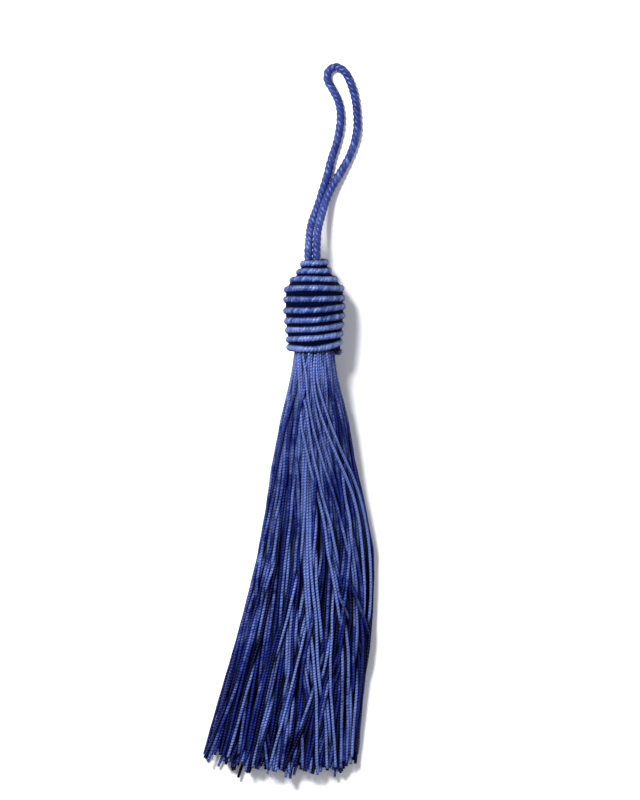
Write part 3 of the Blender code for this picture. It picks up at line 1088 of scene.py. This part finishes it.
@dataclass
class SkirtYarns(Assembly):
    """The cut yarns of the skirt, laid on and beside each other."""

    FINISH = Finishes.YARN
    ROUNDNESS = 2.6  # the exponent of the skirt's rounded section
    INSET = 0.35  # how far inside the outline the outer yarns run, in radii
    NECK_REACH = 5.15 * MM
    NECK_COLUMNS = 26  # the yarns of the neck are ranked by height within as many columns
    OVER_NECK = 4.4 * MM  # how far beside the axis the yarns on top leave the head
    UNDER_NECK = 3.0 * MM
    DIVE = 1.6  # how far below the surface a yarn on top starts, in radii
    LEAD = 14 * MM  # how far above its route's start a stray is led towards it
    SUNK = (72 * MM, 108 * MM)  # where the hollow locks sink away
    SUNK_SHARE = 0.7
    SUNK_SHADE = 0.75
    CUT = 137.2 * MM
    SPARE = 0.2 * MM  # how far inside the last level the longest yarns are cut
    LIGHT = (0.86, 0.12)  # mean and spread of the tones of the light yarns
    DARK = (0.30, 0.16)
    CONTRAST = (0.55, 0.85)  # of the tones at the neck, and what is added lower down
    PAINTED_NECK_LIGHT_END_SHADE = (0.20, 0.33)  # painted light and shade: how much lighter the tones are at the neck, and darker at the cut end
    LOCK_LEAN = 2.2 * MM  # how far a lock leans aside at the cut end
    LOCK_BEND = 1.2 * MM
    OWN_LEAN = 3.4 * MM  # and how far half of the yarns do on their own
    SWAY = 0.9 * MM
    FAN_WIDTH = 38 * MM  # the width of which the locks take up equal parts
    SIDE_CUTS = (6.5 * MM, 3.5 * MM)  # how much shorter the left and right sides are
    RAGGED = 1.2 * MM
    SHORTER = (0.2, 2.2 * MM)  # the share of yarns that are cut short, and by how much
    LONGER = (0.12, 0.6 * MM, 1.6 * MM)
    STRAY_END = 150 * MM  # a stray's route is carried on straight to this drop
    PARTING = (44 * MM, 104 * MM)  # where the loose yarns come loose
    HELD = 25.2 * MM  # above this the yarns are held by the head
    CLOSENESS = 0.97  # the distance at which yarns stop pushing, as a share of their width
    MARGIN = 0.3 * MM  # how near the outline a yarn's centreline may come
    PUSH = 0.42
    PULL = 0.12
    SMOOTHING = 0.22
    OPENING = (42 * MM, 95 * MM)  # between these the tight skirt turns into open locks

    place: HeadPlace
    outline: SkirtOutline
    yarns: int = 140
    loose: int = 34
    lowest: int = 10
    first_drop: float = 23.6 * MM
    last_drop: float = 140.5 * MM
    levels: int = 74
    neck_end: float = 27.5 * MM
    fan_start: float = 42.0 * MM  # from here on the yarns fill the whole width
    thick_start: float = 62.0 * MM  # and from here on the whole thickness
    neck_radius: float = 0.34 * MM
    yarn_radius: float = 0.41 * MM
    locks: int = 22
    clumping: float = 0.75  # how far the yarns of a lock draw together
    light_share: float = 0.45  # the share of light yarns, partly paler dye and partly painted highlight
    hollow_share: float = 0.3  # the share of locks that sink below the others
    rounds: int = 120
    quick_rounds: int = 40
    ring_step: float = 0.85 * MM
    cover_width: float = 0.85 * MM
    open_tip: float = 2.5 * MM  # near its cut end a yarn's painted shade is lessened
    sides: int = 7
    pieces: int = 3
    seed: int = 41

    def lay(self) -> tuple[Array, ...]:
        """Work out where each yarn runs.

        Returns:
            The paths, of shape (yarns, levels, 3), the drop at which each yarn is cut, its tone,
            and the painted shade of how deeply it lies among others at each level.
        """
        rng = np.random.default_rng(self.seed)
        drops = np.linspace(self.first_drop, self.last_drop, self.levels)
        left, right, under, crown = self.outline.at(drops)
        share = (drops - self.first_drop) / (self.last_drop - self.first_drop)
        neck_x, neck_z = self.neck_places(rng)
        across, upward = self.shares(neck_x, neck_z)
        drift, lift = self.drifts(rng, across, share)
        position = np.clip(across[:, None] + drift / (right - left), 0.0, 1.0)
        inset = self.INSET * self.yarn_radius
        x = left + inset + position * (right - left - 2 * inset)
        sunk = rng.random(self.locks) < self.hollow_share
        sunk[[0, 1, -2, -1]] = False  # the outer locks stay level with the rest
        sunk = sunk[self.locks_of(across)][:, None] * eased(drops, *self.SUNK)
        height = np.clip(upward[:, None] + lift, 0.02, 1.0) * (1 - self.SUNK_SHARE * sunk)
        thickness = height * (0.25 + 0.75 * self.fullness(position))
        z = under + self.yarn_radius + (crown - under - self.yarn_radius * 2) * thickness
        x = neck_x[:, None] + (x - neck_x[:, None]) * eased(drops, self.neck_end, self.fan_start)
        z = neck_z[:, None] + (z - neck_z[:, None]) * eased(drops, self.neck_end, self.thick_start)
        cut = self.cut_drops(rng, across)
        tones = self.tones_of(rng, across)
        on_top = self.stray_paths(rng, drops)
        crossing = self.loose_paths(rng, drops)
        below = self.lowest_paths(drops)
        groups = ((x, z, cut, tones), on_top, crossing, below)
        x, z, cut, tones = (np.concatenate(rows) for rows in zip(*groups))
        x, z = self.settled(x, z, drops)
        y = np.broadcast_to(self.place.top - drops, x.shape)
        depths = self.painted_depth_shade(x, z, drops, cut)
        # painted shade: the hollow locks are darkened further as they sink away
        depths[: self.yarns] = np.clip(depths[: self.yarns] + self.SUNK_SHADE * sunk, 0.0, 1.0)
        return np.stack([x, y, z], axis=-1), cut, tones, depths

    def fullness(self, position: Array) -> Array:
        """Return how high the rounded section is at a share of its width, from 0 to 1."""
        return (1 - np.abs(2 * position - 1) ** self.ROUNDNESS) ** (1 / self.ROUNDNESS)

    def surface(self, position: Array, under: Array, crown: Array) -> Array:
        """Return the height of the yarns on top at a share of the skirt's width."""
        height = under + (crown - under) * (0.2 + 0.8 * self.fullness(position))
        return np.maximum(height, self.yarn_radius)

    def locks_of(self, across: Array) -> Array:
        """Return the number of the lock that each yarn belongs to."""
        return np.minimum((across * self.locks).astype(int), self.locks - 1)

    def neck_places(self, rng: np.random.Generator) -> tuple[Array, Array]:
        """Spread the yarns evenly over the round neck under the head.

        Args:
            rng: Draws a slight unevenness.

        Returns:
            The x and z of each yarn.
        """
        number = np.arange(self.yarns) + 0.5
        reach = self.NECK_REACH * np.sqrt(number / self.yarns)
        angle = number * math.pi * (3 - math.sqrt(5)) + rng.normal(0, 0.05, self.yarns)
        return self.place.x + reach * np.cos(angle), self.place.z + reach * np.sin(angle)

    def shares(self, x: Array, z: Array) -> tuple[Array, Array]:
        """Turn places in the round neck into shares of the fan.

        Args:
            x: Where each yarn is sideways.
            z: How high it is.

        Returns:
            The share of the fan's width and of its thickness.
        """
        across = (np.argsort(np.argsort(x)) + 0.5) / len(x)
        columns = np.minimum((across * self.NECK_COLUMNS).astype(int), self.NECK_COLUMNS - 1)
        upward = np.zeros(len(x))
        for column in range(self.NECK_COLUMNS):
            members = np.flatnonzero(columns == column)
            upward[members] = (np.argsort(np.argsort(z[members])) + 0.5) / len(members)
        return across, upward

    def drifts(self, rng: np.random.Generator, across: Array, share: Array) -> tuple[Array, Array]:
        """Work out how far the yarns wander.

        Args:
            rng: Draws each lock's and each yarn's own way.
            across: Each yarn's share of the fan's width.
            share: Each level's share of the skirt's length.

        Returns:
            How far each yarn wanders sideways, in metres, and up, as a share of the thickness.
        """
        lock = self.locks_of(across)
        grown = share**1.4
        lean = rng.normal(0, self.LOCK_LEAN, self.locks)[lock][:, None] * grown
        bend = rng.normal(0, self.LOCK_BEND, self.locks)[lock][:, None]
        bend = bend * np.sin(math.pi * share) * share
        own = rng.normal(0, self.OWN_LEAN, self.yarns)[:, None] * grown
        own = own * (rng.random(self.yarns) < 0.5)[:, None]
        waves = rng.uniform(1.5, 3.5, self.yarns)[:, None]
        starts = rng.uniform(0, math.tau, self.yarns)[:, None]
        sway = self.SWAY * np.sin(math.tau * waves * share + starts) * share**0.7
        middle = (lock + 0.5) / self.locks
        gather = self.clumping * (middle - across)[:, None] * self.FAN_WIDTH
        gather = gather * eased(share, 0.05, 0.5)
        lift = 0.20 * np.sin(math.tau * waves * 0.6 * share + starts * 2) * share
        lift = lift + rng.normal(0, 0.14, self.yarns)[:, None] * share
        return lean + bend + own + sway + gather, lift

    def cut_drops(self, rng: np.random.Generator, across: Array) -> Array:
        """Cut the yarns shorter at both sides, and a little ragged.

        Args:
            rng: Draws how ragged the cut is.
            across: Each yarn's share of the fan's width.

        Returns:
            The drop at which each yarn is cut.
        """
        edge = self.SIDE_CUTS[0] * np.clip((0.20 - across) / 0.20, 0, 1) ** 0.8
        edge = edge + self.SIDE_CUTS[1] * np.clip((across - 0.9) / 0.1, 0, 1)
        count = len(across)
        ragged = rng.normal(0, self.RAGGED, count)
        ragged = ragged - (rng.random(count) < self.SHORTER[0]) * self.SHORTER[1]
        longer = (rng.random(count) < self.LONGER[0]) * rng.uniform(*self.LONGER[1:], count)
        return np.minimum(self.CUT - edge + ragged + longer, self.last_drop - self.SPARE)

    def tones_of(self, rng: np.random.Generator, across: Array) -> Array:
        """Dye the yarns light or dark, the light ones partly painted highlight, and lighten the left
        side with painted light.

        Args:
            rng: Draws each lock's and each yarn's tone.
            across: Each yarn's share of the fan's width.

        Returns:
            The tone of each yarn.
        """
        # painted light: the tones rise towards the left side, and more so at the leftmost locks; each
        # lock's own shade is random
        shades = rng.normal(0.0, 0.08, self.locks)[self.locks_of(across)] + 0.16 * (0.5 - across)
        shades = shades + 0.2 * np.clip((0.24 - across) / 0.12, 0.0, 1.0)
        # the light yarns are partly paler dye and partly painted highlight
        light = rng.random(len(across)) < self.light_share
        bright, dark = (rng.normal(*tones, len(across)) for tones in (self.LIGHT, self.DARK))
        return shades + np.where(light, bright, dark)

    def stray_paths(self, rng: np.random.Generator, drops: Array) -> tuple[Array, ...]:
        """Lay the locks that lie over the others.

        Args:
            rng: Draws how far each yarn strays from its lock, and its cut and tone.
            drops: The drop of each level.

        Returns:
            The x and z of their yarns at each level, and the yarns' cuts and tones.
        """
        left, right, under, crown = self.outline.at(drops)
        paths_x, paths_z, cuts, tones = [], [], [], []
        for stray in STRAYS:
            way = np.array(stray.route) * MM
            lead = way[0, 1] - self.LEAD
            slope = (way[1, 0] - way[0, 0]) / (way[1, 1] - way[0, 1])
            led = self.place.x + way[0, 0] - self.LEAD * slope * 0.6
            from_left, to_right = (np.interp(lead, drops, side) for side in (left, right))
            share = (led - from_left) / (to_right - from_left)
            ahead = (way[-1] - way[-2]) / (way[-1, 1] - way[-2, 1])
            tail = way[-1] + ahead * (self.STRAY_END - way[-1, 1])
            neck = (share * 2 - 1) * self.OVER_NECK if stray.neck is None else stray.neck * MM
            for yarn in range(stray.yarns):
                offset = (yarn - (stray.yarns - 1) / 2) * stray.spacing * MM
                known = [(self.first_drop, self.place.x + neck + 0.4 * offset)]
                if lead > self.first_drop + self.LEAD and stray.neck is None:
                    known.append((lead, led + 0.9 * offset))
                spread = np.linspace(1.0, 1.5, len(way))
                known += [(d, self.place.x + x + offset * k) for (x, d), k in zip(way, spread)]
                known.append((tail[1], self.place.x + tail[0] + offset * 1.6))
                known = np.array(known)
                known[:, 1] += rng.normal(0, 0.15 * MM, len(known))
                x = curve_through(known[:, 1], known[:, 0], drops)[:, 0]
                free = 1.2 * MM * eased(drops, lead, way[-1, 1])
                x = np.clip(x, left + self.yarn_radius - free, right - self.yarn_radius + free)
                position = np.clip((x - left) / (right - left), 0.0, 1.0)
                rise = eased(drops, max(lead - 6 * MM, self.first_drop), way[0, 1])
                paths_x.append(x)
                sunk = (1 - rise) * self.DIVE * self.yarn_radius
                paths_z.append(self.surface(position, under, crown) - sunk)
                cuts.append(min(way[-1, 1] + rng.normal(0, 0.5 * MM), self.last_drop - self.SPARE))
                tones.append(stray.tone + rng.normal(0, 0.08))
        return np.array(paths_x), np.array(paths_z), np.array(cuts), np.array(tones)

    def loose_paths(self, rng: np.random.Generator, drops: Array) -> tuple[Array, ...]:
        """Lay the single yarns that come loose and cross over the others.

        Args:
            rng: Draws where each yarn comes loose and where it goes, and its cut and tone.
            drops: The drop of each level.

        Returns:
            The x and z of the yarns at each level, and their cuts and tones.
        """
        _, _, under, crown = self.outline.at(drops)
        count = self.loose
        parting = rng.uniform(*self.PARTING, count)[:, None]
        first = rng.uniform(0.07, 0.93, count)[:, None]
        last = np.clip(first + rng.normal(0, 0.15, count)[:, None], 0.02, 0.98)
        cuts = 136.8 * MM + rng.normal(0, 1.3 * MM, count)
        gone = np.clip((drops - parting) / (cuts[:, None] - parting), 0.0, None)
        gone = gone ** rng.uniform(0.8, 1.5, count)[:, None]
        start = rng.uniform(0, math.tau, count)[:, None]
        wave = 0.012 * np.sin((drops - parting) / (9 * MM) + start) * eased(drops, 40 * MM, 80 * MM)
        position = np.clip(first + (last - first) * gone + wave, 0.01, 0.99)
        x = self.fanned(drops, position, (first * 2 - 1) * self.OVER_NECK)
        rise = (1 - np.clip((parting + 5 * MM - drops) / (12 * MM), 0.0, 1.0)) ** 2
        z = self.surface(position, under, crown) - (1 - rise) * self.DIVE * self.yarn_radius
        return x, z, np.minimum(cuts, self.last_drop - self.SPARE), rng.uniform(0.1, 1.0, count)

    def lowest_paths(self, drops: Array) -> tuple[Array, ...]:
        """Lay the yarns that lie lowest, under the thin left side.

        Args:
            drops: The drop of each level.

        Returns:
            The x and z of the yarns at each level, and their cuts and tones.
        """
        under = self.outline.at(drops)[2]
        position = np.linspace(0.035, 0.30, self.lowest)[:, None]
        x = self.fanned(drops, position, (position * 2 - 1) * self.UNDER_NECK)
        above = 2.0 * MM * (1 - eased(drops, self.neck_end, self.fan_start))
        z = np.broadcast_to(under + self.yarn_radius + above, x.shape)
        return x, z, 129.0 * MM + 14 * MM * position[:, 0], np.full(self.lowest, 0.35)

    def fanned(self, drops: Array, position: Array, beside: Array) -> Array:
        """Lead yarns out of the neck into the fan.

        Args:
            drops: The drop of each level.
            position: Each yarn's share of the fan's width.
            beside: How far beside the axis it leaves the head.

        Returns:
            The x of each yarn at each level.
        """
        left, right, _, _ = self.outline.at(drops)
        neck = self.place.x + beside
        flare = eased(drops, self.neck_end, self.fan_start)
        return neck + (left + position * (right - left) - neck) * flare

    def radii_at(self, drops: Array) -> Array:
        """Return the yarn's radius at each drop: drawn tight at the neck, and full below it."""
        full = eased(drops, self.neck_end, 55 * MM)
        return self.neck_radius + (self.yarn_radius - self.neck_radius) * full

    def settled(self, x: Array, z: Array, drops: Array) -> tuple[Array, Array]:
        """Push yarns apart at every level, so that they lie on and beside each other.

        Where they are tightest, or cross, they still press into each other.

        Args:
            x: Where each yarn should run sideways, of shape (yarns, levels).
            z: How high it should run.
            drops: The drop of each level.

        Returns:
            The settled x and z.
        """
        aim = np.stack([x, z], axis=-1).transpose(1, 0, 2)
        spots = aim.copy()
        radius = self.radii_at(drops)
        held = drops < self.HELD
        apart = (2 * radius * self.CLOSENESS)[:, None, None]
        own = np.eye(spots.shape[1], dtype=bool)[None]
        left, right, _, _ = self.outline.at(drops)
        low = np.minimum(left[:, None] + self.MARGIN, aim[..., 0])
        high = np.maximum(right[:, None] - self.MARGIN, aim[..., 0])
        rounds = self.rounds
        for step in range(rounds):
            pull = self.PULL * (1 - step / rounds) ** 0.7
            gaps = spots[:, :, None] - spots[:, None]
            reach = np.sqrt((gaps**2).sum(-1)) + 1e-9
            push = np.where(own, 0.0, np.clip(apart - reach, 0.0, None) * self.PUSH / reach)
            spots += (gaps * push[..., None]).sum(axis=2)
            spots += (aim - spots) * pull
            spots[1:-1] += self.SMOOTHING * (spots[2:] + spots[:-2] - 2 * spots[1:-1])
            spots[..., 1] = np.maximum(spots[..., 1], radius[:, None])
            spots[..., 0] = np.clip(spots[..., 0], low, high)
            spots[held] = aim[held]
        return spots[..., 0].T, spots[..., 1].T

    def painted_depth_shade(self, x: Array, z: Array, drops: Array, cuts: Array) -> Array:
        """Work out how deeply each yarn lies among others, for the painted shade between the yarns.

        A yarn counts as open if few others cover it from above, from the left or from the right.

        Args:
            x: Where each yarn runs sideways, of shape (yarns, levels).
            z: How high it runs.
            drops: The drop of each level.
            cuts: The drop at which each yarn is cut.

        Returns:
            The depth of each yarn at each level, from 0 (open) to 1, used as painted shade.
        """
        whole = drops[None, None] < cuts[None, :, None]
        aside, over = x[None] - x[:, None], z[None] - z[:, None]
        covers = []
        for across, outward in ((aside, over), (over, aside), (over, -aside)):
            near = np.exp(-((across / self.cover_width) ** 2)) * whole
            covers.append((np.clip(outward / (2 * self.yarn_radius), 0.0, 1.0) * near).sum(axis=1))
        above, right, left = covers
        covered = np.minimum(above, 1.3 * np.minimum(left, right))
        tight = 1 - np.exp(-0.95 * covered)
        open_work = np.clip((covered - 0.09) / 0.55, 0.0, 1.0) ** 0.8
        share = eased(drops, *self.OPENING)
        return np.clip(tight * (1 - share) + open_work * share, 0.0, 1.0)

    def build(self) -> list[bpy.types.Object]:
        """Build the yarns.

        Returns:
            A few joined pieces, from the lowest yarns to the highest.
        """
        paths, cuts, tones, painted_depth_shade = self.lay()
        rng = np.random.default_rng(self.seed + 1)
        rings = round((self.last_drop - self.first_drop) / self.ring_step)
        fine, radii, depths, shades = [], [], [], []
        for path, cut, cover, tone in zip(paths, cuts, painted_depth_shade, tones):
            drops = np.linspace(self.first_drop, cut, rings)
            places = self.place.top - path[:, 1]
            fine.append(curve_through(path, places, drops))
            # the painted shade is lessened near the cut end
            opened = 0.45 * eased(drops, cut - self.open_tip, cut)
            depths.append(np.interp(drops, places, cover) * (1 - opened))
            contrast = self.CONTRAST[0] + self.CONTRAST[1] * eased(drops, 45 * MM, 100 * MM)
            # painted light at the neck and painted shade towards the cut end, added to the tones
            lighter = self.PAINTED_NECK_LIGHT_END_SHADE[0] * (1 - eased(drops, 30 * MM, 62 * MM))
            painted_light_and_shade = lighter - self.PAINTED_NECK_LIGHT_END_SHADE[1] * eased(drops, 60 * MM, 125 * MM)
            shades.append(0.5 + (tone - 0.5) * contrast + painted_light_and_shade)
            swell = 1 + 0.05 * np.sin(drops / MM * 0.9 + rng.uniform(0, math.tau))
            size = self.radii_at(drops) * swell * rng.uniform(0.92, 1.08)
            size[0] *= 0.7
            size[-1] *= 0.92
            radii.append(size)
        fine, radii, depths, shades = (np.array(rows) for rows in (fine, radii, depths, shades))
        order = np.argsort(fine[:, rings // 2, 2])
        made = []
        for number, members in enumerate(np.array_split(order, self.pieces)):
            parts = (rows[members] for rows in (fine, radii, np.clip(shades, 0, 1), depths))
            bundle = StrandBundle(*parts, sides=self.sides, floor=CLEARANCE)
            piece = bundle.to_object(f"skirt_yarns_{number + 1}")
            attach(piece, BODY)
            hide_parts("skirt")
            made.append(piece)
        return made


@dataclass
class Studio:
    """The floor, light and camera."""

    FLOOR_COLOUR = (0.92, 0.92, 0.93, 1.0)
    FLOOR_SIZE = 3.0
    FLOOR_DROP = 0.02 * MM  # the floor lies this far below the tassel, so that no face meets it
    ROOM_COLOUR = (0.93, 0.94, 1.0, 1.0)
    ROOM_STRENGTH = 0.40
    LAMPS = (("key", (-0.27, 0.40, 0.61), 0.22, 10.5), ("fill", (0.35, -0.15, 0.75), 0.5, 0.8))

    place: HeadPlace
    seen_height: float = 216.0 * MM
    lens: float = 200.0
    middle_height: float = 8.0 * MM  # the height at which the view is as high as stated
    sensor: float = 36.0
    aim_beside: float = 1.5 * MM
    aim_drop: float = 37.8 * MM

    def build(self) -> None:
        """Build the floor, the lights and the camera."""
        self.camera()
        self.floor()
        self.lights()
        bpy.context.scene.view_settings.view_transform = "Standard"

    def camera(self) -> None:
        """Look straight down on the tassel."""
        data = bpy.data.cameras.new("camera")
        data.lens = self.lens
        data.sensor_width = self.sensor
        data.sensor_fit = "AUTO"
        height = self.lens * self.seen_height / self.sensor
        data.clip_end = height * 3
        made = bpy.data.objects.new("camera", data)
        x, y = self.place.x + self.aim_beside, self.place.top - self.aim_drop
        made.location = (x, y, self.middle_height + height)
        bpy.context.scene.collection.objects.link(made)
        bpy.context.scene.camera = made

    def floor(self) -> None:
        """Lay a wide pale floor."""
        shape = bmesh.new()
        bmesh.ops.create_grid(shape, x_segments=1, y_segments=1, size=self.FLOOR_SIZE)
        mesh = bpy.data.meshes.new("floor")
        shape.to_mesh(mesh)
        shape.free()
        finish = bpy.data.materials.new("floor_paper")
        finish.use_nodes = True
        shader = finish.node_tree.nodes["Principled BSDF"]
        shader.inputs["Base Color"].default_value = self.FLOOR_COLOUR
        shader.inputs["Roughness"].default_value = 0.9
        shader.inputs["Specular IOR Level"].default_value = 0.1
        mesh.materials.append(finish)
        made = bpy.data.objects.new("floor", mesh)
        made.location.z = -self.FLOOR_DROP
        bpy.context.scene.collection.objects.link(made)

    def lights(self) -> None:
        """Hang a soft key light to the upper left and a wide fill, in an even white room."""
        world = bpy.data.worlds.new("room")
        world.use_nodes = True
        back = world.node_tree.nodes["Background"]
        back.inputs["Color"].default_value = self.ROOM_COLOUR
        back.inputs["Strength"].default_value = self.ROOM_STRENGTH
        bpy.context.scene.world = world
        for lamp in self.LAMPS:
            self.lamp(*lamp)

    def lamp(self, name: str, position: tuple[float, float, float], size: float, power: float) -> None:
        """Hang one round area light aimed at the tassel.

        Args:
            name: The light's name.
            position: Where it hangs.
            size: How wide it is.
            power: How strong it is, in watts.
        """
        data = bpy.data.lights.new(name, "AREA")
        data.shape = "DISK"
        data.size = size
        data.energy = power
        made = bpy.data.objects.new(name, data)
        made.location = position
        made.rotation_euler = (-Vector(position)).to_track_quat("-Z", "Y").to_euler()
        bpy.context.scene.collection.objects.link(made)


def triangles_in(piece: bpy.types.Object) -> int:
    """Return how many triangles a piece has."""
    return sum(len(face.vertices) - 2 for face in piece.data.polygons)


def main() -> None:
    """Build the studio, then the cord, then the rest of the tassel."""
    logging.basicConfig(level=logging.INFO, format="%(name)s: %(message)s")
    place = HeadPlace.of_frame()
    Studio(place).build()
    finishes = Finishes()
    skirt = SkirtYarns(place, SkirtOutline(place))
    for assembly in (HangingLoop(place), HeadWinding(place), Mould(place), skirt):
        pieces = assembly.build()
        assembly.dress(pieces, finishes)
        for piece in pieces:
            LOG.info("%s: %d triangles", piece.name, triangles_in(piece))


if __name__ == "__main__":
    main()
